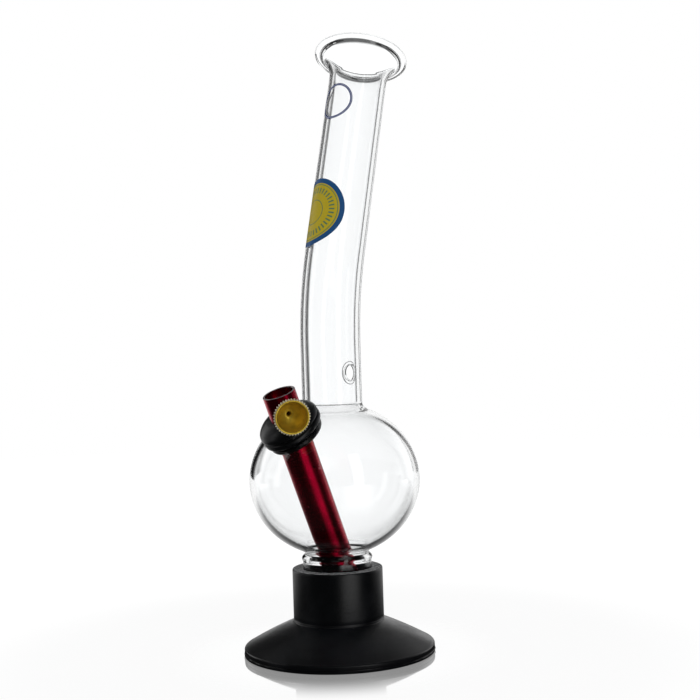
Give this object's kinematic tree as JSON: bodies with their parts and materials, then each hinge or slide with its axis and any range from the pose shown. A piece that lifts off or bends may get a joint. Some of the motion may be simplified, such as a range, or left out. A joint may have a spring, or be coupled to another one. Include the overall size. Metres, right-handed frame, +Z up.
{
  "type": "bent neck glass water pipe",
  "caption": "Free-standing glass water pipe with a round bulb, a bent neck with a flared lip, a metal stem with a small brass bowl, and a flared rubber base.",
  "frame": {"origin": "centre of the rubber base's underside, on the axis of the base, collar and bulb", "axes": "+Z up; the stem leaves the bulb towards -Y; the neck leans back towards +Y, 16.8 degrees round towards -X"},
  "size_m": [0.111, 0.1322, 0.3649],
  "materials": {
    "base_rubber": "matt black moulded rubber with a light bloom",
    "clear_glass": "clear flame-worked borosilicate glass",
    "grommet_rubber": "smooth black rubber",
    "red_anodised": "crimson anodised tube with fine scratches",
    "plug_aluminium": "anodised plug",
    "socket_brass": "turned brass",
    "cone_brass": "turned brass with a knurled rim",
    "label_film": "printed gloss film, yellow with a blue rim",
    "decal_ink": "blue printed ring"
  },
  "bodies": {
    "stand": {"base": "base_rubber"},
    "vessel": {"glass_bulb": "clear_glass", "glass_neck": "clear_glass", "mouth_lip": "clear_glass", "grommet": "grommet_rubber", "round_label": "label_film", "ring_decal": "decal_ink"},
    "stem": {"stem_tube": "red_anodised", "stem_plug": "plug_aluminium", "cone_socket": "socket_brass"},
    "cone": {"cone_bowl": "cone_brass"}
  },
  "joints": [
    {"name": "vessel_lift", "type": "slide", "parent": "stand", "child": "vessel", "axis": [0, 0, 1], "range_m": [0, 0.06]},
    {"name": "stem_pull", "type": "slide", "parent": "vessel", "child": "stem", "axis": [0, -0.384, 0.9233], "range_m": [0, 0.11]},
    {"name": "cone_pull", "type": "slide", "parent": "stem", "child": "cone", "axis": [0.8469, -0.5087, -0.1549], "range_m": [0, 0.018]}
  ]
}
